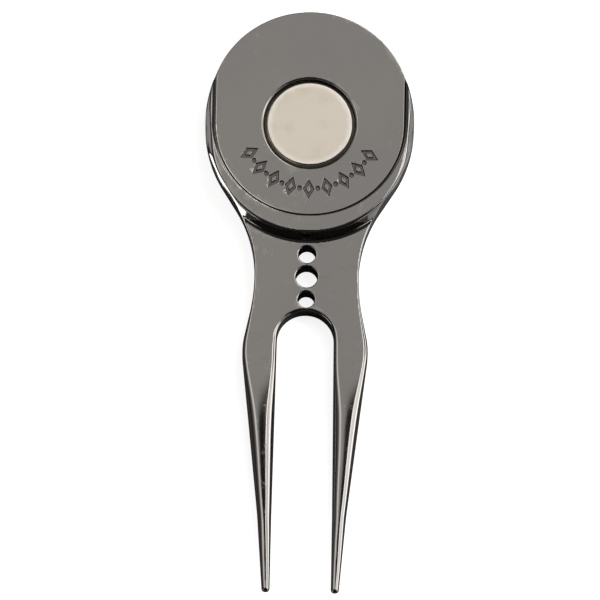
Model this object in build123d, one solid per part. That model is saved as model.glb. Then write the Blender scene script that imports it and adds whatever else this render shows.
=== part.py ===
from build123d import *
import os
from math import asin, atan, cos, degrees, sin

# Divot repair tool, lying on its flat back, millimetres.
# +Z is the front (the side with the marker seat), +Y points from the prongs to the head.
# The origin is under the middle of the tool's bounding box, on the back plane.
# The shapes are drawn about the seat's centre first, and moved to that origin at the end.

# Heights above the back plane
PLATE_TOP = 3.2              # front face of the neck and the shoulders
SEAT_FLOOR = 3.7             # face that the ball marker lies on
FENCE_TOP = 5.0              # rim that keeps the marker from sliding off
POCKET_FLOOR = 1.4           # bottom of the magnet's pocket

# Head, seen from the front; the seat's centre is at y = 0
SEAT_RADIUS = 12.55          # clears a 25 mm ball marker
SEAT_WALL_RUN = 0.4          # how far the seat's wall leans out, up to the fence's top
PAD_TOP_RADIUS = 13.3        # upper end of the raised pad, at the fence's top edge
PAD_TOP_Y = 2.1
PAD_LOW_RADIUS = 13.0        # lower end of the raised pad
PAD_LOW_Y = -2.35
PAD_WALL_RUN = 0.55          # how far the pad's wall leans out, down to the plate
PAD_EDGE_ROUND = 0.3
HEAD_HALF_WIDTH = 13.85
HEAD_WIDEST_Y = 0.4
NOTCH_ROUND = 4.0            # softens the outline where the pad meets the wider plate

# Neck and shoulders: corners of the outline, and the radius that rounds each one
FLANK_CORNER = (HEAD_HALF_WIDTH, -4.55)
FLANK_ROUND = 16.0
NECK_HALF_WIDTH = 6.9
NECK_TOP_Y = -15.5
NECK_TOP_ROUND = 17.0
NECK_LOW_Y = -23.5
NECK_LOW_ROUND = 24.0
SHOULDER_HALF_WIDTH = 8.3
SHOULDER_Y = -30.0
SHOULDER_ROUND = 12.0
EDGE_ROUND = 0.6             # along the whole outline, front and back

# Fork
CROTCH_Y = -25.5             # top of the gap between the prongs
FORK_HALF_GAP = 3.74
ROOT_Y = -31.5               # the plate ends and the prongs begin to narrow
KNEE_Y = -38.0               # from here on the prongs grow thinner too
WAIST_Y = -53.0              # the flat facets of a prong have narrowed to nothing
WAIST_OUTER = 5.86
WAIST_HALF_GAP = 3.98
WAIST_THICKNESS = 1.8
TIP_X = 4.53                 # middle of a prong's tip
TIP_Y = -63.4
TIP_RADIUS = 0.52
MID_PLANE = PLATE_TOP / 2    # the prongs thin towards this height
ALL_ROUND = 0.49             # a section's corner radius, as a share of its thickness, where it is all round

# Holes through the neck: (y, radius)
NECK_HOLES = [(-17.85, 1.15), (-20.9, 1.45), (-24.0, 1.1)]
HOLE_EDGE_CUT = 0.2

# Magnet and its bond
MAGNET_RADIUS = 6.0
MAGNET_THICKNESS = 2.0
MAGNET_EDGE_ROUND = 0.35
BOND_GAP = 0.15              # epoxy under the magnet and around it
BOND_HEIGHT = 1.6            # top of the epoxy above the pocket's floor

# Engraved ornament: an arc of lozenges with dots between them, below the magnet
ORNAMENT_RADIUS = 9.0
ORNAMENT_DEPTH = 0.2
LOZENGE_COUNT = 9
LOZENGE_PITCH = 15.5         # degrees between neighbouring lozenges
LOZENGE_HALF_LENGTH = 1.3    # along the radius
LOZENGE_HALF_WIDTH = 0.75
LOZENGE_CORE = 0.45          # the uncut middle of a lozenge, as a share of its size
DOT_RADIUS = 0.3

TOP_Y = PAD_TOP_Y + PAD_TOP_RADIUS
TO_ORIGIN = Pos(0, -(TOP_Y + TIP_Y) / 2, 0)
CLEAR = 2.0                  # how far a cutting tool runs past the faces that it opens
SEAT_RISE = 0.2              # the same for the seat's leaning wall
SAME = 1e-4                  # two measures this close are one and the same


def plate_outline():
    """Head, neck, shoulders and crotch, down to the roots of the prongs."""
    corners = [
        ((HEAD_HALF_WIDTH, HEAD_WIDEST_Y), 0),
        (FLANK_CORNER, FLANK_ROUND),
        ((NECK_HALF_WIDTH, NECK_TOP_Y), NECK_TOP_ROUND),
        ((NECK_HALF_WIDTH, NECK_LOW_Y), NECK_LOW_ROUND),
        ((SHOULDER_HALF_WIDTH, SHOULDER_Y), SHOULDER_ROUND),
        ((SHOULDER_HALF_WIDTH, ROOT_Y), 0),
    ]
    corners += [((-x, y), radius) for (x, y), radius in reversed(corners)]
    border = FilletPolyline(*[point for point, _ in corners],
                            radius=[radius for _, radius in corners], close=True)
    outline = make_face(border)
    outline += Pos(0, HEAD_WIDEST_Y) * Circle(HEAD_HALF_WIDTH)
    outline += Pos(0, PAD_TOP_Y) * Circle(PAD_TOP_RADIUS)
    notches = [
        vertex for vertex in outline.vertices()
        if vertex.Y > HEAD_WIDEST_Y + CLEAR and abs(vertex.X) > PAD_TOP_RADIUS / 2
    ]
    outline = fillet(notches, NOTCH_ROUND)
    gap_y = CROTCH_Y - FORK_HALF_GAP
    gap_length = gap_y - ROOT_Y + CLEAR
    outline -= Pos(0, gap_y) * Circle(FORK_HALF_GAP)
    outline -= Pos(0, gap_y - gap_length / 2) * Rectangle(2 * FORK_HALF_GAP, gap_length)
    return outline


def pad_outline(spread):
    """Two arcs joined by their common tangents, grown outwards by spread."""
    high, low = PAD_TOP_RADIUS + spread, PAD_LOW_RADIUS + spread
    lean = asin((high - low) / (PAD_TOP_Y - PAD_LOW_Y))
    high_x, high_y = high * cos(lean), PAD_TOP_Y - high * sin(lean)
    low_x, low_y = low * cos(lean), PAD_LOW_Y - low * sin(lean)
    return make_face([
        ThreePointArc((high_x, high_y), (0, PAD_TOP_Y + high), (-high_x, high_y)),
        Line((-high_x, high_y), (-low_x, low_y)),
        ThreePointArc((-low_x, low_y), (0, PAD_LOW_Y - low), (low_x, low_y)),
        Line((low_x, low_y), (high_x, high_y)),
    ])


def plate():
    """The casting's lower layer, with its long outline rounded on both faces."""
    solid = extrude(plate_outline(), PLATE_TOP)
    edges = [
        edge
        for face in (solid.faces().sort_by(Axis.Z)[0], solid.faces().sort_by(Axis.Z)[-1])
        for edge in face.edges()
        if edge.center().Y > ROOT_Y + SAME
    ]
    return fillet(edges, EDGE_ROUND)


def pad():
    """The raised pad with its leaning wall, before the seat is cut into it."""
    start = PLATE_TOP - EDGE_ROUND
    lean = PAD_WALL_RUN / (FENCE_TOP - PLATE_TOP)
    foot = Pos(0, 0, start) * pad_outline(lean * (FENCE_TOP - start))
    rim = Pos(0, 0, FENCE_TOP) * pad_outline(0)
    solid = loft([foot, rim], ruled=True)
    solid = fillet(solid.faces().sort_by(Axis.Z)[-1].edges(), PAD_EDGE_ROUND)
    return solid & extrude(plate_outline(), FENCE_TOP)


def seat_cut():
    """U-shaped recess of the seat, open at the head's top so that a marker slides off."""
    reach = TOP_Y + CLEAR
    height = FENCE_TOP - SEAT_FLOOR
    lean = degrees(atan(SEAT_WALL_RUN / height))
    shape = Circle(SEAT_RADIUS) + Pos(0, reach / 2) * Rectangle(2 * SEAT_RADIUS, reach)
    return Pos(0, 0, SEAT_FLOOR) * extrude(shape, height + SEAT_RISE, taper=-lean)


def magnet_pocket():
    return Pos(0, 0, POCKET_FLOOR) * extrude(Circle(MAGNET_RADIUS + BOND_GAP), FENCE_TOP)


def ornament_cut():
    """Lozenges and dots along an arc that is centred on the seat."""
    shape = Sketch()
    lozenge = make_face(Polyline(
        (LOZENGE_HALF_LENGTH, 0), (0, LOZENGE_HALF_WIDTH),
        (-LOZENGE_HALF_LENGTH, 0), (0, -LOZENGE_HALF_WIDTH), close=True))
    lozenge -= scale(lozenge, LOZENGE_CORE)
    first = -90 - LOZENGE_PITCH * (LOZENGE_COUNT - 1) / 2
    for i in range(LOZENGE_COUNT):
        angle = first + i * LOZENGE_PITCH
        shape += Rot(0, 0, angle) * Pos(ORNAMENT_RADIUS, 0) * lozenge
        if i < LOZENGE_COUNT - 1:
            shape += Rot(0, 0, angle + LOZENGE_PITCH / 2) * Pos(ORNAMENT_RADIUS, 0) * Circle(DOT_RADIUS)
    return Pos(0, 0, SEAT_FLOOR - ORNAMENT_DEPTH) * extrude(shape, FENCE_TOP)


def prong_section(y, inner, outer, thickness, corner):
    """A rounded rectangle across one prong, at a right angle to the tool's length."""
    across = Plane(origin=((inner + outer) / 2, y, MID_PLANE), x_dir=(1, 0, 0), z_dir=(0, -1, 0))
    return across * RectangleRounded(outer - inner, thickness, corner)


def prong():
    """The right prong: flat facets that narrow to a ridge, then a round point."""
    narrowed = (ROOT_Y - KNEE_Y) / (ROOT_Y - WAIST_Y)
    knee_gap = FORK_HALF_GAP + narrowed * (WAIST_HALF_GAP - FORK_HALF_GAP)
    knee_outer = SHOULDER_HALF_WIDTH + narrowed * (WAIST_OUTER - SHOULDER_HALF_WIDTH)
    sections = [
        prong_section(ROOT_Y, FORK_HALF_GAP, SHOULDER_HALF_WIDTH, PLATE_TOP, EDGE_ROUND),
        prong_section(KNEE_Y, knee_gap, knee_outer, PLATE_TOP, EDGE_ROUND),
        prong_section(WAIST_Y, WAIST_HALF_GAP, WAIST_OUTER, WAIST_THICKNESS, WAIST_THICKNESS * ALL_ROUND),
        prong_section(TIP_Y + TIP_RADIUS, TIP_X - TIP_RADIUS, TIP_X + TIP_RADIUS,
                      2 * TIP_RADIUS, 2 * TIP_RADIUS * ALL_ROUND),
    ]
    nose = Pos(TIP_X, TIP_Y + TIP_RADIUS, MID_PLANE) * Sphere(TIP_RADIUS)
    return loft(sections, ruled=True) + nose


def neck_holes(solid):
    """Cuts the three holes through the neck and breaks their edges."""
    for y, radius in NECK_HOLES:
        solid -= Pos(0, y, 0) * extrude(Circle(radius), PLATE_TOP)
        rims = [
            edge for edge in solid.edges().filter_by(GeomType.CIRCLE)
            if abs(edge.radius - radius) < SAME and abs(edge.arc_center.Y - y) < SAME
        ]
        solid = chamfer(rims, HOLE_EDGE_CUT)
    return solid


def fork_body():
    right = prong()
    solid = plate() + right + right.mirror(Plane.YZ) + pad()
    solid -= seat_cut()
    solid -= magnet_pocket()
    solid -= ornament_cut()
    return neck_holes(solid)


def marker_magnet():
    disc = extrude(Circle(MAGNET_RADIUS), MAGNET_THICKNESS)
    disc = fillet(disc.edges().filter_by(GeomType.CIRCLE), MAGNET_EDGE_ROUND)
    return Pos(0, 0, POCKET_FLOOR + BOND_GAP) * disc


def magnet_adhesive(magnet):
    """Epoxy cup between the magnet and its pocket."""
    fill = Pos(0, 0, POCKET_FLOOR) * extrude(Circle(MAGNET_RADIUS + BOND_GAP), BOND_HEIGHT)
    return fill - magnet


magnet = marker_magnet()
subparts = {
    "fork_body": fork_body(),
    "marker_magnet": magnet,
    "magnet_adhesive": magnet_adhesive(magnet),
}

os.makedirs("parts", exist_ok=True)
for name, shape in subparts.items():
    export_step(TO_ORIGIN * shape, f"parts/{name}.step")
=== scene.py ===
import math

import bmesh
import bpy
import numpy as np
from mathutils import Matrix, Vector


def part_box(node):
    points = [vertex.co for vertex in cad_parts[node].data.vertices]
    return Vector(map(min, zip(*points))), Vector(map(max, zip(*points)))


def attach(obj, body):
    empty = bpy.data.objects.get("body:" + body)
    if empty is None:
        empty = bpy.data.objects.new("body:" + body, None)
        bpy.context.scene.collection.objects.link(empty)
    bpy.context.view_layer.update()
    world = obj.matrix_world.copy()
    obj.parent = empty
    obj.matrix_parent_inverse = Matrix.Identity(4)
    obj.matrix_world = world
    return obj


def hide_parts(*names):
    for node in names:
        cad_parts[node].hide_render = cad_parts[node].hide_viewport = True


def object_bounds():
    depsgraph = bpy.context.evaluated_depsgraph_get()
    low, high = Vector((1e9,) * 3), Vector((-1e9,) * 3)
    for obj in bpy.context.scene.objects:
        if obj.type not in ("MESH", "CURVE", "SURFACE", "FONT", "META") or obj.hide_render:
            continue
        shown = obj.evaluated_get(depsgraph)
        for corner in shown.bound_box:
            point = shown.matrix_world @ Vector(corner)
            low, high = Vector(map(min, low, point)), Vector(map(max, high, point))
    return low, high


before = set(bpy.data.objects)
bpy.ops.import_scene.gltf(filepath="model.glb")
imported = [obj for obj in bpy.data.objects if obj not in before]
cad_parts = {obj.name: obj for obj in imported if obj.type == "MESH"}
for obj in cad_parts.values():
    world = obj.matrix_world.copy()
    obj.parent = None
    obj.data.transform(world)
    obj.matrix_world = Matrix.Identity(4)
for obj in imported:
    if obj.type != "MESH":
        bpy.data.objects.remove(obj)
cad_low, cad_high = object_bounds()
scene = bpy.context.scene
MM = 0.001

# The seat's centre is the magnet's, and the back of the tool lies on Z = 0. SEAT_Y is in metres, like the
# frame. The casting's and the magnet's sizes are in millimetres, drawn about the seat's centre.
magnet_low, magnet_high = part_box("marker_magnet")
SEAT_Y = (magnet_low[1] + magnet_high[1]) / 2
MAGNET_TOP = magnet_high[2] / MM
MAGNET_FOOT = magnet_low[2] / MM
MAGNET_RADIUS = (magnet_high[0] - magnet_low[0]) / 2 / MM

# Sizes of the casting. They are the CAD model's, but for the seat's wall, which leans a little more here, and
# the corner of the shoulder.
PLATE_TOP = 3.2
SEAT_FLOOR = 3.7
FENCE_TOP = cad_high[2] / MM
POCKET_FLOOR = 1.4
SEAT_RADIUS, SEAT_WALL_RUN = 12.55, 0.45
PAD_TOP_RADIUS, PAD_TOP_Y = 13.3, 2.1
PAD_LOW_RADIUS, PAD_LOW_Y = 13.0, -2.35
PAD_WALL_RUN = 0.55
HEAD_HALF_WIDTH, HEAD_WIDEST_Y = 13.85, 0.4
NOTCH_ROUND = 4.0
FLANK_Y, FLANK_BEND = -4.55, 16.0
NECK_HALF_WIDTH = 6.9
NECK_TOP_Y, NECK_TOP_BEND = -15.5, 17.0
NECK_LOW_Y, NECK_LOW_BEND = -23.5, 24.0
SHOULDER_HALF_WIDTH = 8.3
SHOULDER_X, SHOULDER_Y, SHOULDER_BEND = 8.39, -30.6, 10.0
FORK_HALF_GAP, CROTCH_Y = 3.74, -25.5
ROOT_Y, KNEE_Y, WAIST_Y = -31.5, -38.0, -53.0
WAIST_OUTER, WAIST_HALF_GAP, WAIST_THICKNESS = 5.86, 3.98, 1.8
WAIST_BEND = 60.0
TIP_Y, TIP_X, TIP_RADIUS, TIP_BEND = -63.4, 4.53, 0.52, 0.46
MID_PLANE = PLATE_TOP / 2
NECK_HOLES = [(-17.85, 1.15), (-20.9, 1.45), (-24.0, 1.1)]

# Corners of the right-hand outline from the flank round the prong to the crotch: x, y, radius of the bend
OUTLINE_CORNERS = [
    (HEAD_HALF_WIDTH, FLANK_Y, FLANK_BEND),
    (NECK_HALF_WIDTH, NECK_TOP_Y, NECK_TOP_BEND),
    (NECK_HALF_WIDTH, NECK_LOW_Y, NECK_LOW_BEND),
    (SHOULDER_X, SHOULDER_Y, SHOULDER_BEND),
    (WAIST_OUTER, WAIST_Y, WAIST_BEND),
    (TIP_X + TIP_RADIUS, TIP_Y, TIP_BEND),
    (TIP_X - TIP_RADIUS, TIP_Y, TIP_BEND),
    (WAIST_HALF_GAP, WAIST_Y, WAIST_BEND),
]

# Softened edges of the polished casting: the fence's outer and inner edge, the pocket's and the holes'. The
# last two are the corners at the foot of the pad and round the seat's floor.
RIM_ROUND = 0.3
FENCE_ROUND = 0.08
POCKET_ROUND = 0.22
HOLE_ROUND = 0.14
FOOT_ROUND = 0.4
FLOOR_CORNER = 0.15

# The outline's edges are softened by a radius that changes along the tool: place, radius
EDGE_ROUNDS = [
    (TIP_Y + TIP_RADIUS, TIP_RADIUS),
    (WAIST_Y, 0.82),
    (KNEE_Y - 2, 1.1),
    (ROOT_Y, 0.6),
    (CROTCH_Y + 3.5, 0.2),
]

# The prongs' faces are crowned: they fall away by CROWN times the square of the way off a ridge. The crown
# grows from the first of these places to the second, and fades out from the third to the fourth.
CROWN = 0.10
CROWN_PLACES = [WAIST_Y - 4, WAIST_Y, KNEE_Y - 9, ROOT_Y - 1]
RIDGE_SHIFT = 0.16          # how far outside the prong's middle the ridge runs
TAPER_EASE = 3.5            # how far the prongs' change of slope is spread out, along their length
TAPER_STEPS = 25            # how many shifted tapers are averaged for that

# The magnet's edges, and the epoxy round it
MAGNET_CHAMFER, MAGNET_EDGE_ROUND = 0.42, 0.1
MAGNET_RINGS = (0.98, 0.9, 0.6, 0.3, 0.1)       # rings of points on its face, as shares of the face's radius
BOND_GAP, BOND_HEIGHT, BOND_SAG = 0.15, 1.6, 0.06
BOND_OUTER_CUT, BOND_INNER_CUT = 0.03, 0.05     # small cuts off the corners of the epoxy's section
POCKET_RADIUS = MAGNET_RADIUS + BOND_GAP

# Engraved ornament: an arc of lozenge rings with dots between them, below the magnet
ORNAMENT_RADIUS, ORNAMENT_DEPTH = 9.0, 0.2
LOZENGE_COUNT, LOZENGE_PITCH = 9, math.radians(15.5)
LOZENGE_HALF_LENGTH, LOZENGE_HALF_WIDTH, LOZENGE_CORE = 1.3, 0.75, 0.45
DOT_RADIUS = 0.3
ENGRAVED_WALL = 0.1         # width of the slope from the seat's floor down into the engraving

GRID = 0.125                # spacing of the grid that the casting's surface is found on
GRID_SHIFT = 0.013          # keeps the grid's points off the casting's flat faces
FINER = 3                   # the ornament's faces are divided into this many each way
MOST_TRIANGLES = 185_000
SLACK = 0.05                # how far past its ends a line of the outline still counts, so that no gap opens
LEAST_SLOPE = 0.25          # a smaller square of the field's slope counts as this much


# ---------------------------------------------------------------- outline as arcs and lines
def unit(v):
    return v / np.hypot(*v)


def arc(centre, start, end, radius, convex):
    return {"kind": "arc", "centre": centre, "start": start - centre, "end": end - centre,
            "radius": radius, "sign": 1.0 if convex else -1.0}


def line(start, end):
    return {"kind": "line", "start": start, "along": unit(end - start),
            "length": np.hypot(*(end - start))}


def outline_path():
    """Half of the plate's outline, clockwise, so that the metal lies on the right of each stretch."""
    high, wide = np.array([0, PAD_TOP_Y]), np.array([0, HEAD_WIDEST_Y])
    reach_high, reach_wide = PAD_TOP_RADIUS + NOTCH_ROUND, HEAD_HALF_WIDTH + NOTCH_ROUND
    notch_y = (high[1] ** 2 - wide[1] ** 2 - reach_high ** 2 + reach_wide ** 2) / (2 * (high[1] - wide[1]))
    notch = np.array([math.sqrt(reach_high ** 2 - (notch_y - high[1]) ** 2), notch_y])
    into_notch = high + unit(notch - high) * PAD_TOP_RADIUS
    out_of_notch = wide + unit(notch - wide) * HEAD_HALF_WIDTH
    widest = np.array([HEAD_HALF_WIDTH, HEAD_WIDEST_Y])
    path = [
        arc(high, high + np.array([0, PAD_TOP_RADIUS]), into_notch, PAD_TOP_RADIUS, True),
        arc(notch, into_notch, out_of_notch, NOTCH_ROUND, False),
        arc(wide, out_of_notch, widest, HEAD_HALF_WIDTH, True),
    ]
    crotch = np.array([0, CROTCH_Y - FORK_HALF_GAP])
    crotch_foot = np.array([FORK_HALF_GAP, crotch[1]])
    here = widest
    corners = [np.array(c[:2]) for c in OUTLINE_CORNERS] + [crotch_foot]
    for corner, following, (_, _, radius) in zip(corners, corners[1:], OUTLINE_CORNERS):
        into, out = unit(corner - here), unit(following - corner)
        turn = into[0] * out[1] - into[1] * out[0]
        reach = radius * math.tan(math.asin(abs(turn)) / 2) if into @ out > 0 else radius
        side = np.array([into[1], -into[0]]) * (1.0 if turn < 0 else -1.0)
        start, end = corner - into * reach, corner + out * reach
        path += [line(here, start), arc(start + side * radius, start, end, radius, turn < 0)]
        here = end
    path += [line(here, crotch_foot),
             arc(crotch, crotch_foot, np.array([0, CROTCH_Y]), FORK_HALF_GAP, False)]
    return path


PATH = outline_path()


def outline_distance(x, y):
    """Signed distance to the plate's outline, negative in the metal."""
    x = np.abs(x)
    nearest = np.full(x.shape, 1e3)
    signed = np.full(x.shape, 1e3)
    for piece in PATH:
        if piece["kind"] == "line":
            dx, dy = x - piece["start"][0], y - piece["start"][1]
            ux, uy = piece["along"]
            run = dx * ux + dy * uy
            value = ux * dy - uy * dx
            beside = (run > -SLACK) & (run < piece["length"] + SLACK)
        else:
            dx, dy = x - piece["centre"][0], y - piece["centre"][1]
            sx, sy = piece["start"]
            ex, ey = piece["end"]
            turn = -piece["sign"]
            beside = (turn * (sx * dy - sy * dx) > -1e-6) & (turn * (dx * ey - dy * ex) > -1e-6)
            value = piece["sign"] * (np.hypot(dx, dy) - piece["radius"])
        closer = beside & (np.abs(value) < nearest)
        nearest = np.where(closer, np.abs(value), nearest)
        signed = np.where(closer, value, signed)
    return signed


# ---------------------------------------------------------------- the casting as a field
def meet(a, b, radius):
    """Intersection of two solids, its edge rounded."""
    corner = np.hypot(np.maximum(a + radius, 0), np.maximum(b + radius, 0))
    return np.minimum(-radius, np.maximum(a, b)) + corner


def join(a, b, radius):
    """Union of two solids, the corner between them filled."""
    corner = np.hypot(np.maximum(radius - a, 0), np.maximum(radius - b, 0))
    return np.maximum(radius, np.minimum(a, b)) - corner


def pad_distance(x, y):
    """Signed distance to the raised pad's rim: two circles and their common tangents."""
    x, y = np.abs(x), PAD_TOP_Y - y
    span = PAD_TOP_Y - PAD_LOW_Y
    lean = (PAD_TOP_RADIUS - PAD_LOW_RADIUS) / span
    rise = math.sqrt(1 - lean * lean)
    along = -lean * x + rise * y
    high = np.hypot(x, y) - PAD_TOP_RADIUS
    low = np.hypot(x, y - span) - PAD_LOW_RADIUS
    side = rise * x + lean * y - PAD_TOP_RADIUS
    return np.where(along < 0, high, np.where(along > rise * span, low, side))


def seat_distance(x, y):
    """Signed distance to the seat: half a circle whose sides run straight on to the top of the head."""
    return np.where(y > 0, np.abs(x), np.hypot(x, y)) - SEAT_RADIUS


def ornament_depth(x, y):
    """Depth of the engraving below the seat's floor."""
    radius = np.hypot(x, y)
    bearing = np.arctan2(x, -y) / LOZENGE_PITCH
    most = (LOZENGE_COUNT - 1) / 2
    turn = LOZENGE_PITCH * (bearing - np.clip(np.round(bearing), -most, most))
    along, across = radius * np.cos(turn) - ORNAMENT_RADIUS, radius * np.sin(turn)
    size = np.abs(along) / LOZENGE_HALF_LENGTH + np.abs(across) / LOZENGE_HALF_WIDTH
    slant = LOZENGE_HALF_LENGTH * LOZENGE_HALF_WIDTH / math.hypot(LOZENGE_HALF_LENGTH, LOZENGE_HALF_WIDTH)
    ring = np.maximum(size - 1, LOZENGE_CORE - size) * slant
    turn = LOZENGE_PITCH * (bearing - np.clip(np.round(bearing - 0.5) + 0.5, 0.5 - most, most - 0.5))
    dot = np.hypot(radius * np.cos(turn) - ORNAMENT_RADIUS, radius * np.sin(turn)) - DOT_RADIUS
    share = np.clip(0.5 - np.minimum(ring, dot) / ENGRAVED_WALL, 0, 1)
    return ORNAMENT_DEPTH * share * share * (3 - 2 * share)


def half_thickness(y):
    """Half of the plate's thickness, which shrinks along the prongs with softened changes of slope."""
    places = [TIP_Y + TIP_RADIUS, WAIST_Y, KNEE_Y]
    sizes = [TIP_RADIUS, WAIST_THICKNESS / 2, MID_PLANE]
    shares = np.linspace(-1, 1, TAPER_STEPS)
    return sum(np.interp(y + TAPER_EASE * share, places, sizes) for share in shares) / TAPER_STEPS


def eased(y, places, values):
    """Like np.interp, but levelling off at every place."""
    spot = np.interp(y, places, np.arange(len(places)))
    first = np.minimum(spot.astype(int), len(places) - 2)
    share = spot - first
    values = np.array(values)
    return values[first] + (values[first + 1] - values[first]) * share * share * (3 - 2 * share)


def plan(x, y):
    """What depends only on the place seen from the front."""
    waist_middle = (WAIST_OUTER + WAIST_HALF_GAP) / 2
    shoulder_middle = (SHOULDER_HALF_WIDTH + FORK_HALF_GAP) / 2
    ridge = np.interp(y, [TIP_Y, WAIST_Y, ROOT_Y],
                      [TIP_X, waist_middle + RIDGE_SHIFT, shoulder_middle + RIDGE_SHIFT])
    crown = eased(y, CROWN_PLACES, [0, CROWN, CROWN, 0])
    return {
        "outline": outline_distance(x, y),
        "pad": pad_distance(x, y),
        "seat": seat_distance(x, y),
        "pocket": np.hypot(x, y) - POCKET_RADIUS,
        "holes": [np.hypot(x, y - hole_y) - radius for hole_y, radius in NECK_HOLES],
        "half": half_thickness(y) - crown * (np.abs(x) - ridge) ** 2,
        "soft": eased(y, *zip(*EDGE_ROUNDS)),
        "floor": SEAT_FLOOR - ornament_depth(x, y),
    }


def casting(p, z):
    """Signed distance to the casting's skin, negative in the metal."""
    lean = PAD_WALL_RUN / (FENCE_TOP - PLATE_TOP)
    wall = (p["pad"] - lean * (FENCE_TOP - z)) / math.hypot(1, lean)
    top = join(z - MID_PLANE - p["half"], meet(wall, z - FENCE_TOP, RIM_ROUND), FOOT_ROUND)
    solid = meet(p["outline"], np.maximum(top, MID_PLANE - p["half"] - z), p["soft"])
    lean = SEAT_WALL_RUN / (FENCE_TOP - SEAT_FLOOR)
    seat_wall = (p["seat"] - lean * (z - SEAT_FLOOR)) / math.hypot(1, lean)
    seat = meet(seat_wall, p["floor"] - z, FLOOR_CORNER)
    solid = meet(solid, -seat, FENCE_ROUND)
    pocket = np.maximum(p["pocket"], POCKET_FLOOR - z)
    solid = meet(solid, -pocket, POCKET_ROUND)
    for hole in p["holes"]:
        solid = meet(solid, -hole, HOLE_ROUND)
    return solid


def slopes(points, step=0.01):
    """The field and its gradient at each point."""
    x, y, z = points.T
    here = plan(x, y)
    value = casting(here, z)
    gradient = np.stack([
        casting(plan(x + step, y), z) - casting(plan(x - step, y), z),
        casting(plan(x, y + step), z) - casting(plan(x, y - step), z),
        casting(here, z + step) - casting(here, z - step),
    ], axis=1) / (2 * step)
    return value, gradient


def settle(points, rounds=3):
    """Moves points onto the casting's skin and returns them with its normals there."""
    for _ in range(rounds):
        value, gradient = slopes(points)
        size = np.maximum((gradient ** 2).sum(axis=1), LEAST_SLOPE)
        move = np.clip(value / size, -GRID, GRID)
        points = points - gradient * move[:, None]
    _, gradient = slopes(points)
    return points, gradient / np.maximum(np.linalg.norm(gradient, axis=1), 1e-9)[:, None]


def field_on_grid():
    """The field's values on a grid round the casting, and the grid's first point."""
    margin = 2 * GRID
    low = np.array([-HEAD_HALF_WIDTH - margin, TIP_Y - margin, -margin])
    high = np.array([HEAD_HALF_WIDTH + margin, PAD_TOP_Y + PAD_TOP_RADIUS + margin, FENCE_TOP + margin])
    axes = [np.arange(a, b + GRID, GRID) + GRID_SHIFT for a, b in zip(low, high)]
    flat_x, flat_y = np.meshgrid(axes[0], axes[1], indexing="ij")
    p = plan(flat_x, flat_y)
    values = np.stack([casting(p, z) for z in axes[2]], axis=2)
    return values, np.array([axis[0] for axis in axes])


def crossed_cells(values):
    """The grid's cells that the skin crosses, and in each the mean of the points where it crosses an edge."""
    inside = values < 0
    near = [slice(None, -1), slice(1, None)]
    corners = [(i, j, k) for i in (0, 1) for j in (0, 1) for k in (0, 1)]
    count = sum(inside[near[i], near[j], near[k]].astype(np.int8) for i, j, k in corners)
    cells = np.argwhere((count > 0) & (count < 8))
    at = {c: values[cells[:, 0] + c[0], cells[:, 1] + c[1], cells[:, 2] + c[2]] for c in corners}
    total, crossings = np.zeros((len(cells), 3)), np.zeros(len(cells))
    for a in corners:
        for axis in range(3):
            if a[axis]:
                continue
            b = tuple(v + (i == axis) for i, v in enumerate(a))
            crossed = (at[a] < 0) != (at[b] < 0)
            share = np.where(crossed, at[a] / np.where(crossed, at[a] - at[b], 1), 0)
            spot = np.tile(np.array(a, float), (len(cells), 1))
            spot[:, axis] = share
            total += spot * crossed[:, None]
            crossings += crossed
    return cells, total / crossings[:, None]


def joined_cells(inside, cells):
    """A quad for each edge of the grid that the skin crosses, between the four cells round that edge."""
    number = np.full([size - 1 for size in inside.shape], -1, dtype=np.int64)
    number[tuple(cells.T)] = np.arange(len(cells))
    quads = []
    for axis in range(3):
        lower = tuple(slice(None, -1) if i == axis else slice(1, -1) for i in range(3))
        upper = tuple(slice(1, None) if i == axis else slice(1, -1) for i in range(3))
        crossed = inside[lower] != inside[upper]
        spots = np.argwhere(crossed)
        spots[:, [i for i in range(3) if i != axis]] += 1
        outward = inside[lower][crossed]
        u, v = [np.eye(3, dtype=int)[i] for i in range(3) if i != axis]
        ring = [number[tuple((spots - shift).T)] for shift in (0 * u, u, u + v, v)]
        quad = np.stack(ring, axis=1)
        flip = outward if axis != 1 else ~outward
        quad[flip] = quad[flip][:, ::-1]
        quads.append(quad[:, ::-1])
    return np.concatenate(quads)


def skin():
    """Surface nets: one point in each grid cell that the skin crosses, joined into quads."""
    values, first = field_on_grid()
    cells, within = crossed_cells(values)
    return first + (cells + within) * GRID, joined_cells(values < 0, cells)


# ---------------------------------------------------------------- meshes
def make_piece(name, points, faces, slot, *nodes):
    """A new object in place of CAD nodes, from points in millimetres about the seat's centre."""
    mesh = bpy.data.meshes.new(name)
    mesh.from_pydata((np.array(points) * MM + [0, SEAT_Y, 0]).tolist(), [], faces)
    mesh.validate()
    piece = bpy.data.objects.new(name, mesh)
    scene.collection.objects.link(piece)
    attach(piece, "root")
    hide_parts(*nodes)
    return piece


def apply_modifiers(piece):
    done = bpy.data.meshes.new_from_object(piece.evaluated_get(bpy.context.evaluated_depsgraph_get()))
    piece.modifiers.clear()
    piece.data = done
    done.name = piece.name


def settle_piece(piece):
    """Puts a piece's vertices on the casting's skin and returns the skin's normals there."""
    flat = np.empty(len(piece.data.vertices) * 3)
    piece.data.vertices.foreach_get("co", flat)
    home = np.array([0, SEAT_Y, 0])
    points, normals = settle((flat.reshape(-1, 3) - home) / MM)
    piece.data.vertices.foreach_set("co", (points * MM + home).ravel())
    piece.data.update()
    return normals


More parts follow.
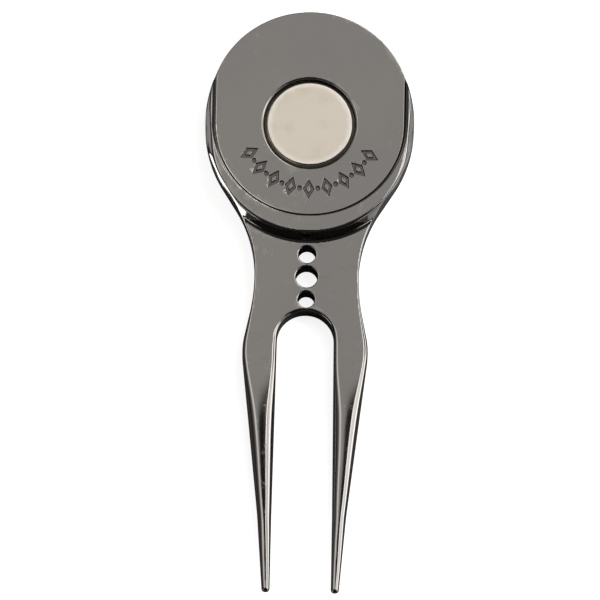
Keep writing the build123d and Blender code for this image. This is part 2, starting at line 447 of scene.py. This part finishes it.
def refine_ornament(piece):
    """Divides the faces of the seat's floor that the ornament is cut into."""
    reach = LOZENGE_HALF_LENGTH + GRID
    mesh = bmesh.new()
    mesh.from_mesh(piece.data)
    edges = []
    for edge in mesh.edges:
        x, y, z = ((edge.verts[0].co + edge.verts[1].co) / 2 / MM)[:]
        y -= SEAT_Y / MM
        bearing = abs(math.atan2(x, -y)) / LOZENGE_PITCH
        on_floor = SEAT_FLOOR - ORNAMENT_DEPTH - GRID < z < SEAT_FLOOR + GRID
        if on_floor and abs(math.hypot(x, y) - ORNAMENT_RADIUS) < reach and bearing < LOZENGE_COUNT / 2:
            edges.append(edge)
    bmesh.ops.subdivide_edges(mesh, edges=edges, cuts=FINER - 1, use_grid_fill=True)
    bmesh.ops.triangulate(mesh, faces=mesh.faces[:])
    mesh.to_mesh(piece.data)
    mesh.free()


def tool_body():
    points, quads = skin()
    points, _ = settle(points)
    body = make_piece("tool_body", points, quads.tolist(), "black_nickel", "fork_body")
    refine_ornament(body)
    settle_piece(body)
    thin = body.modifiers.new("thin", "DECIMATE")
    thin.ratio = min(1.0, MOST_TRIANGLES / len(body.data.polygons))
    apply_modifiers(body)
    normals = settle_piece(body)
    body.data.shade_smooth()
    body.data.normals_split_custom_set_from_vertices(normals.tolist())
    return body


def lathe(name, profile, slot, node, segments=192):
    """Turns a profile of (radius, height) points about the seat's centre. It starts and ends on the axis."""
    angles = np.arange(segments) * 2 * math.pi / segments
    points = [(0, 0, profile[0][1])]
    for radius, height in profile[1:-1]:
        points += [(radius * math.cos(a), radius * math.sin(a), height) for a in angles]
    points.append((0, 0, profile[-1][1]))
    last, rings = len(points) - 1, len(profile) - 2
    faces = []
    for i in range(segments):
        j = (i + 1) % segments
        faces.append((0, 1 + j, 1 + i))
        for k in range(rings - 1):
            low, high = 1 + k * segments, 1 + (k + 1) * segments
            faces.append((low + i, low + j, high + j, high + i))
        faces.append((last, last - segments + i, last - segments + j))
    piece = make_piece(name, points, faces, slot, node)
    piece.data.shade_smooth()
    return piece


def rounded(centre_radius, centre_height, radius, first, last, steps=8):
    """Points of an arc in a profile, between two angles in degrees above the outward direction."""
    angles = [math.radians(a) for a in np.linspace(first, last, steps + 1)]
    return [(centre_radius + radius * math.cos(a), centre_height + radius * math.sin(a)) for a in angles]


def magnet_disc():
    """A disc whose chamfers run into its faces and its side in small arcs."""
    inner = MAGNET_RADIUS - MAGNET_CHAMFER - MAGNET_EDGE_ROUND / 2
    side = MAGNET_RADIUS - MAGNET_EDGE_ROUND
    profile = [(0, MAGNET_FOOT)]
    profile += rounded(inner, MAGNET_FOOT + MAGNET_EDGE_ROUND, MAGNET_EDGE_ROUND, -90, -45)
    profile += rounded(side, MAGNET_FOOT + MAGNET_CHAMFER + MAGNET_EDGE_ROUND / 2, MAGNET_EDGE_ROUND, -45, 0)
    profile += rounded(side, MAGNET_TOP - MAGNET_CHAMFER - MAGNET_EDGE_ROUND / 2, MAGNET_EDGE_ROUND, 0, 45)
    profile += rounded(inner, MAGNET_TOP - MAGNET_EDGE_ROUND, MAGNET_EDGE_ROUND, 45, 90)
    profile += [(inner * share, MAGNET_TOP) for share in MAGNET_RINGS]
    profile += [(0, MAGNET_TOP)]
    return lathe("magnet_disc", profile, "magnet_nickel", "marker_magnet")


def epoxy_bed():
    """A cup under and around the magnet, its top drawn up both walls."""
    rim = POCKET_FLOOR + BOND_HEIGHT
    middle = MAGNET_RADIUS + BOND_GAP / 2
    profile = [(0, POCKET_FLOOR), (POCKET_RADIUS - BOND_OUTER_CUT, POCKET_FLOOR),
               (POCKET_RADIUS, POCKET_FLOOR + BOND_OUTER_CUT)]
    for share in np.linspace(1, -1, 9):
        profile.append((middle + share * BOND_GAP / 2, rim - BOND_SAG * (1 - share * share)))
    profile += [(MAGNET_RADIUS, MAGNET_FOOT + BOND_INNER_CUT),
                (MAGNET_RADIUS - BOND_INNER_CUT, MAGNET_FOOT), (0, MAGNET_FOOT)]
    return lathe("epoxy_bed", profile, "epoxy", "magnet_adhesive")


body = tool_body()
magnet = magnet_disc()
epoxy = epoxy_bed()


# ---------------------------------------------------------------- materials
class Nodes:
    """Short calls for making shader nodes: each returns the new node's first output."""

    def __init__(self, tree):
        self.tree = tree

    def link(self, value, socket):
        if isinstance(value, bpy.types.NodeSocket):
            self.tree.links.new(value, socket)
        else:
            socket.default_value = value

    def add(self, kind, inputs=(), **settings):
        node = self.tree.nodes.new(kind)
        for name, value in settings.items():
            setattr(node, name, value)
        for name, value in dict(inputs).items():
            self.link(value, node.inputs[name])
        return node

    def math(self, operation, *values):
        node = self.tree.nodes.new("ShaderNodeMath")
        node.operation = operation
        for value, socket in zip(values, node.inputs):
            self.link(value, socket)
        return node.outputs[0]

    def hypot(self, x, y):
        return self.math("SQRT", self.math("ADD", self.math("MULTIPLY", x, x), self.math("MULTIPLY", y, y)))

    def ramp(self, value, start, end, low=0.0, high=1.0):
        """Rises smoothly from low to high as value goes from start to end."""
        node = self.tree.nodes.new("ShaderNodeMapRange")
        node.interpolation_type = "SMOOTHSTEP"
        for name, given in (("Value", value), ("From Min", start), ("From Max", end),
                            ("To Min", low), ("To Max", high)):
            self.link(given, node.inputs[name])
        return node.outputs[0]

    def blend(self, share, first, second):
        node = self.tree.nodes.new("ShaderNodeMix")
        node.data_type = "RGBA"
        self.link(share, node.inputs[0])
        self.link(first, node.inputs[6])
        self.link(second, node.inputs[7])
        return node.outputs[2]


def new_material(name):
    """A material with its nodes, its Principled shader and its place in millimetres about the seat."""
    material = bpy.data.materials.new(name)
    material.use_nodes = True
    nodes = Nodes(material.node_tree)
    shader = material.node_tree.nodes["Principled BSDF"]
    place = nodes.add("ShaderNodeTexCoord").outputs["Object"]
    mapped = nodes.add("ShaderNodeMapping", {"Vector": place, "Location": (0, -SEAT_Y / MM, 0),
                                             "Scale": (1 / MM, 1 / MM, 1 / MM)}).outputs[0]
    return material, nodes, shader, mapped


# Colours, as linear red, green, blue and alpha
PLATE_TINTS = (0.345, 0.326, 0.308, 1), (0.330, 0.318, 0.306, 1)
WORN_TINT = (0.62, 0.59, 0.55, 1)
ENGRAVED_TINT = (0.07, 0.066, 0.062, 1)
# near black: painted shade on the wall round the seat, standing in for the shade in the corner by the fence
SEAT_WALL_SHADE_TINT = (0.02, 0.019, 0.018, 1)
MAGNET_TINTS = (0.76, 0.70, 0.60, 1), (0.71, 0.64, 0.535, 1)
MAGNET_RIM_TINT = (0.88, 0.83, 0.74, 1)
# darker: painted shade on the chamfer round the magnet's face
MAGNET_CHAMFER_SHADE_TINT = (0.45, 0.42, 0.38, 1)
EPOXY_TINTS = (0.012, 0.010, 0.008, 1), (0.035, 0.028, 0.02, 1)
GROOVE_PITCH = 0.16         # millimetres between the turned grooves on the magnet's face


def noise(nodes, place, scale, detail=3.0, roughness=0.5):
    return nodes.add("ShaderNodeTexNoise", {"Vector": place, "Scale": scale, "Detail": detail,
                                            "Roughness": roughness}).outputs["Fac"]


def scratches(nodes, place, angle, spacing, length, amount):
    """Hairlines in one direction: a stretched noise, cut off close to its middle value."""
    turned = nodes.add("ShaderNodeMapping", {"Vector": place,
                                             "Rotation": (0, 0, math.radians(angle))}).outputs[0]
    stretched = nodes.add("ShaderNodeMapping", {"Vector": turned,
                                                "Scale": (1 / length, 1 / spacing, 1)}).outputs[0]
    off_middle = nodes.math("ABSOLUTE", nodes.math("SUBTRACT", noise(nodes, stretched, 1.0, 1.0), 0.5))
    lines = nodes.ramp(off_middle, 0.0, 0.012, 1, 0)
    patch = nodes.ramp(noise(nodes, turned, 0.35, 2.0), 1 - amount, 1.05 - amount)
    return nodes.math("MULTIPLY", lines, patch)


def engraving_bottom(nodes, x, y, z):
    """One on the bottoms of the engraving, and on the tool's back in the same ring, as only height tells."""
    low = nodes.ramp(z, SEAT_FLOOR - 0.02, SEAT_FLOOR - ORNAMENT_DEPTH * 0.7)
    off = nodes.math("ABSOLUTE", nodes.math("SUBTRACT", nodes.hypot(x, y), ORNAMENT_RADIUS))
    ring = nodes.ramp(off, LOZENGE_HALF_LENGTH + 0.1, LOZENGE_HALF_LENGTH + 0.3, 1, 0)
    return nodes.math("MULTIPLY", low, ring)


def seat_wall(nodes, x, y, z):
    """Mask of the painted shade: one on the wall round the seat, zero elsewhere."""
    reach = nodes.hypot(x, nodes.math("MINIMUM", y, 0))
    top_radius = SEAT_RADIUS + SEAT_WALL_RUN
    wall = nodes.math("MULTIPLY", nodes.ramp(reach, SEAT_RADIUS - FLOOR_CORNER, SEAT_RADIUS - 0.08),
                      nodes.ramp(reach, top_radius + 0.05, top_radius - 0.05))
    wall = nodes.math("MULTIPLY", wall, nodes.ramp(z, SEAT_FLOOR + 0.004, SEAT_FLOOR + 0.03))
    return nodes.math("MULTIPLY", wall, nodes.ramp(z, FENCE_TOP, FENCE_TOP - 0.08))


def black_nickel():
    material, nodes, shader, place = new_material("black_nickel")
    x, y, z = nodes.add("ShaderNodeSeparateXYZ", {"Vector": place}).outputs
    engraved = engraving_bottom(nodes, x, y, z)

    # hairlines, handling haze, and plate worn thin along the edges
    hair = nodes.math("MAXIMUM", scratches(nodes, place, 12, 0.35, 9.0, 0.42),
                      scratches(nodes, place, 105, 0.4, 7.0, 0.40))
    hair = nodes.math("MAXIMUM", hair, scratches(nodes, place, 58, 0.3, 5.0, 0.36))
    haze = nodes.ramp(noise(nodes, place, 0.16, 4.0, 0.6), 0.4, 0.72)
    smear = nodes.ramp(noise(nodes, place, 0.8, 5.0, 0.7), 0.35, 0.75)
    edge = nodes.add("ShaderNodeNewGeometry").outputs["Pointiness"]
    worn = nodes.math("MULTIPLY", nodes.ramp(edge, 0.56, 0.68),
                      nodes.ramp(noise(nodes, place, 0.9, 4.0), 0.42, 0.6))

    # colour: the plate, then its worn edges, the engraving and the painted shade that darkens the wall round
    # the seat
    tint = nodes.blend(nodes.ramp(noise(nodes, place, 0.07, 2.0), 0.35, 0.65), *PLATE_TINTS)
    tint = nodes.blend(nodes.math("MULTIPLY", worn, 0.25), tint, WORN_TINT)
    tint = nodes.blend(nodes.math("MULTIPLY", engraved, 0.75), tint, ENGRAVED_TINT)
    # painted shade: the wall round the seat is tinted almost black, where shade falls in the corner by the
    # fence
    tint = nodes.blend(nodes.math("MULTIPLY", seat_wall(nodes, x, y, z), 0.93), tint, SEAT_WALL_SHADE_TINT)
    nodes.link(tint, shader.inputs["Base Color"])
    shader.inputs["Metallic"].default_value = 1.0

    # gloss: polished but for the haze, the hairlines and the frosted engraving
    rough = nodes.math("ADD", nodes.math("MULTIPLY", haze, 0.03), nodes.math("MULTIPLY", smear, 0.015))
    rough = nodes.math("ADD", rough, nodes.math("MULTIPLY", hair, 0.04))
    rough = nodes.math("ADD", rough, nodes.math("MULTIPLY", engraved, 0.35))
    nodes.link(nodes.math("ADD", rough, 0.075), shader.inputs["Roughness"])

    # relief: the polish's faint waves, the hairlines and the engraving's grit
    peel = nodes.add("ShaderNodeBump", {"Height": noise(nodes, place, 0.55, 2.0), "Strength": 1.0,
                                        "Distance": 0.0025 * MM}).outputs[0]
    cut = nodes.add("ShaderNodeBump", {"Height": hair, "Strength": 1.0, "Distance": 0.0012 * MM,
                                       "Normal": peel}, invert=True).outputs[0]
    grit = nodes.math("MULTIPLY", noise(nodes, place, 9.0, 3.0), engraved)
    nodes.link(nodes.add("ShaderNodeBump", {"Height": grit, "Strength": 1.0, "Distance": 0.02 * MM,
                                            "Normal": cut}).outputs[0], shader.inputs["Normal"])
    return material


def satin_nickel():
    material, nodes, shader, place = new_material("satin_nickel")
    x, y, _ = nodes.add("ShaderNodeSeparateXYZ", {"Vector": place}).outputs
    radius = nodes.hypot(x, y)
    rim = nodes.ramp(nodes.math("ADD", radius, nodes.math("MULTIPLY", noise(nodes, place, 0.8, 3.0), 0.6)),
                     MAGNET_RADIUS - 0.9, MAGNET_RADIUS - 0.3)
    stain = nodes.ramp(noise(nodes, place, 0.35, 4.0, 0.6), 0.45, 0.75)
    turned = nodes.math("SINE", nodes.math("MULTIPLY", radius, 2 * math.pi / GROOVE_PITCH))
    streak = noise(nodes, nodes.add("ShaderNodeCombineXYZ", {"X": radius}).outputs[0], 6.0, 3.0)
    tint = nodes.blend(stain, *MAGNET_TINTS)
    tint = nodes.blend(rim, tint, MAGNET_RIM_TINT)
    # painted shade: the chamfer round the magnet's face is tinted darker, standing in for the dark ring of
    # shade at its edge
    chamfer = nodes.ramp(radius, MAGNET_RADIUS - MAGNET_CHAMFER - 0.08, MAGNET_RADIUS - MAGNET_CHAMFER + 0.02)
    nodes.link(nodes.blend(chamfer, tint, MAGNET_CHAMFER_SHADE_TINT), shader.inputs["Base Color"])
    shader.inputs["Metallic"].default_value = 1.0
    rough = nodes.math("ADD", nodes.math("SUBTRACT", 0.36, nodes.math("MULTIPLY", chamfer, 0.26)),
                       nodes.math("MULTIPLY", stain, 0.08))
    nodes.link(nodes.math("ADD", rough, nodes.math("MULTIPLY", streak, 0.08)), shader.inputs["Roughness"])
    grooves = nodes.math("ADD", nodes.math("MULTIPLY", turned, 0.4), streak)
    nodes.link(nodes.add("ShaderNodeBump", {"Height": grooves, "Strength": 1.0,
                                            "Distance": 0.002 * MM}).outputs[0], shader.inputs["Normal"])
    return material


def dark_epoxy():
    material, nodes, shader, place = new_material("dark_epoxy")
    blotch = noise(nodes, place, 1.6, 3.0)
    nodes.link(nodes.blend(blotch, *EPOXY_TINTS), shader.inputs["Base Color"])
    nodes.link(nodes.ramp(blotch, 0.3, 0.7, 0.2, 0.4), shader.inputs["Roughness"])
    nodes.link(nodes.add("ShaderNodeBump", {"Height": noise(nodes, place, 4.0, 3.0), "Strength": 1.0,
                                            "Distance": 0.02 * MM}).outputs[0], shader.inputs["Normal"])
    return material


body.data.materials.append(black_nickel())
magnet.data.materials.append(satin_nickel())
epoxy.data.materials.append(dark_epoxy())


# ---------------------------------------------------------------- studio
FLOOR_SIZE = 4                                  # metres
FLOOR_SEEN, FLOOR_SHINE = 0.5, 0.85             # what the camera sees: a grey that also shines by itself
FLOOR_MIRRORED = 0.11                           # what the metal mirrors: a darker grey


def grey(level):
    return level, level, level, 1


def studio_floor():
    """Pale floor: white to the camera but for a faint shadow, and a dim table to the metal's reflections."""
    bpy.ops.mesh.primitive_plane_add(size=FLOOR_SIZE)
    floor = bpy.context.object
    floor.name = "studio_floor"
    material = bpy.data.materials.new("pale_floor")
    material.use_nodes = True
    nodes = Nodes(material.node_tree)
    material.node_tree.nodes.clear()
    pale = nodes.add("ShaderNodeBsdfDiffuse", {"Color": grey(FLOOR_SEEN)}).outputs[0]
    glow = nodes.add("ShaderNodeEmission", {"Color": grey(1), "Strength": FLOOR_SHINE}).outputs[0]
    seen = nodes.add("ShaderNodeAddShader", {0: pale, 1: glow}).outputs[0]
    dim = nodes.add("ShaderNodeBsdfDiffuse", {"Color": grey(FLOOR_MIRRORED)}).outputs[0]
    by_camera = nodes.add("ShaderNodeLightPath").outputs["Is Camera Ray"]
    mix = nodes.add("ShaderNodeMixShader", {0: by_camera, 1: dim, 2: seen}).outputs[0]
    nodes.add("ShaderNodeOutputMaterial", {"Surface": mix})
    floor.data.materials.append(material)


# Flat lamps that lie on the table beside the flanks of the head and face up, to draw lines of light along its
# sides: brightness, and the two corners nearest the head in millimetres about the seat
STRIPS = [
    ("strip_dim_left", 0.32, (-15.9, 9.0), (-15.9, -3.6)),
    ("strip_bright_left", 2.2, (-14.4, -3.6), (-9.1, -14.2)),
    ("strip_dim_right", 0.32, (15.9, -2.6), (15.9, 9.0)),
    ("strip_dim_low_right", 0.32, (8.9, -14.6), (15.7, -1.0)),
]
STRIP_WIDTH, STRIP_HEIGHT = 6.0, 0.05


def strip_lamps():
    for name, brightness, start, end in STRIPS:
        start, end = np.array(start), np.array(end)
        along = unit(end - start)
        middle = (start + end) / 2 + np.array([along[1], -along[0]]) * STRIP_WIDTH / 2
        length = np.hypot(*(end - start))
        data = bpy.data.lights.new(name, "AREA")
        data.shape, data.size, data.size_y = "RECTANGLE", length * MM, STRIP_WIDTH * MM
        data.energy = 4 * brightness * length * STRIP_WIDTH * MM * MM
        lamp = bpy.data.objects.new(name, data)
        scene.collection.objects.link(lamp)
        lamp.location = (middle[0] * MM, middle[1] * MM + SEAT_Y, STRIP_HEIGHT * MM)
        lamp.rotation_euler = (math.pi, 0, math.atan2(along[1], along[0]))
        lamp.visible_camera = False
        lamp.visible_diffuse = False


# Soft boxes of the studio: bearing of the middle (degrees from +X towards +Y), height above the horizon,
# half width, half height, softness of the border, brightness
SOFT_BOXES = [
    (8, 15, 30, 9, 4, 3.2),
    (62, 50, 16, 11, 5, 3.0),
    (20, 70, 42, 8, 3, 2.4),
    (2, 42, 14, 20, 4, 1.6),
    (153, 62, 28, 11, 6, 0.9),
    (-145, 9, 16, 5, 4, 2.2),
    (-35, 9, 16, 5, 4, 2.2),
]
DARK_DISC = 12.8            # half angle, in degrees, of a dark patch near the zenith
DARK_DISC_SOFT = 1.5        # half the width of its soft border
DARK_DISC_X = 0.095         # how far its middle is off the zenith towards +X, on the unit sphere


def studio_light():
    world = bpy.data.worlds.new("studio")
    scene.world = world
    world.use_nodes = True
    nodes = Nodes(world.node_tree)
    world.node_tree.nodes.clear()
    towards = nodes.add("ShaderNodeTexCoord").outputs["Generated"]
    x, y, z = nodes.add("ShaderNodeSeparateXYZ", {"Vector": towards}).outputs
    bearing = nodes.math("DEGREES", nodes.math("ARCTAN2", y, x))
    height = nodes.math("DEGREES", nodes.math("ARCSINE", z))

    # grey ceiling, dim towards the horizon and dark on the side that the camera looks from
    upper = nodes.ramp(height, 10, 72, 0.05, 0.62)
    behind = nodes.ramp(y, 0.12, -0.08, 1.0, 0.08)
    glow = nodes.math("MULTIPLY", upper, behind)
    for middle, high, half_width, half_height, soft, brightness in SOFT_BOXES:
        off = nodes.math("ABSOLUTE", nodes.math("SUBTRACT", bearing, middle))
        up = nodes.math("ABSOLUTE", nodes.math("SUBTRACT", height, high))
        box = nodes.math("MULTIPLY", nodes.ramp(off, half_width + soft, half_width - soft),
                         nodes.ramp(up, half_height + soft, half_height - soft))
        glow = nodes.math("ADD", glow, nodes.math("MULTIPLY", box, brightness))

    # dark patch near the zenith, which leaves the sky below it alone
    off_middle = nodes.hypot(nodes.math("SUBTRACT", x, DARK_DISC_X), y)
    disc = nodes.ramp(off_middle, math.sin(math.radians(DARK_DISC - DARK_DISC_SOFT)),
                      math.sin(math.radians(DARK_DISC + DARK_DISC_SOFT)), 0.03, 1.0)
    disc = nodes.math("MAXIMUM", disc, nodes.math("SUBTRACT", 1.0, nodes.ramp(height, 40, 60)))
    glow = nodes.math("MULTIPLY", glow, disc)
    light = nodes.add("ShaderNodeBackground", {"Color": (1.0, 0.985, 0.965, 1), "Strength": glow}).outputs[0]
    white = nodes.add("ShaderNodeBackground", {"Color": grey(1), "Strength": 1.0}).outputs[0]
    by_camera = nodes.add("ShaderNodeLightPath").outputs["Is Camera Ray"]
    mix = nodes.add("ShaderNodeMixShader", {0: by_camera, 1: light, 2: white}).outputs[0]
    nodes.add("ShaderNodeOutputWorld", {"Surface": mix})
    scene.view_settings.view_transform = "Standard"


SIDE_SIZE, SIDE_POWER, SIDE_AWAY = 0.12, 0.55, 0.35     # metres, watts, metres
SIDE_TOWARDS = (0.72, 0.1, 0.68)


def side_light():
    """A soft lamp from +X that draws the faint shadow on the floor; the metal doesn't mirror it."""
    data = bpy.data.lights.new("side_light", "AREA")
    data.shape, data.size, data.energy = "DISK", SIDE_SIZE, SIDE_POWER
    lamp = bpy.data.objects.new("side_light", data)
    scene.collection.objects.link(lamp)
    away = Vector(SIDE_TOWARDS).normalized()
    lamp.location = away * SIDE_AWAY
    lamp.rotation_euler = away.to_track_quat("Z", "Y").to_euler()
    lamp.visible_glossy = False


# ---------------------------------------------------------------- camera
VIEW_WIDTH = 79.5               # millimetres across the view at the tool
VIEW_HEIGHT_ANGLE = 75          # degrees above the table, looking towards +Y
VIEW_ROLL = 1.2                 # degrees, clockwise in the picture
VIEW_MIDDLE = (-1.3, -23.36)    # millimetres to the view's right and up from the middle of the magnet's face
LENS, SENSOR = 600, 36


def camera():
    data = bpy.data.cameras.new("camera")
    eye = bpy.data.objects.new("camera", data)
    scene.collection.objects.link(eye)
    scene.camera = eye
    data.lens, data.sensor_width = LENS, SENSOR
    data.clip_start, data.clip_end = 0.01, 10
    height = math.radians(VIEW_HEIGHT_ANGLE)
    back = Vector((0, -math.cos(height), math.sin(height)))
    rotation = Matrix((Vector((1, 0, 0)), back.cross(Vector((1, 0, 0))), back)).transposed()
    rotation = rotation @ Matrix.Rotation(math.radians(VIEW_ROLL), 3, "Z")
    right, up = rotation.col[0], rotation.col[1]
    middle = Vector((0, SEAT_Y, MAGNET_TOP * MM)) + (right * VIEW_MIDDLE[0] + up * VIEW_MIDDLE[1]) * MM
    eye.location = middle + back * VIEW_WIDTH * MM * LENS / SENSOR
    eye.rotation_mode = "QUATERNION"
    eye.rotation_quaternion = rotation.to_quaternion()


studio_floor()
strip_lamps()
studio_light()
side_light()
camera()
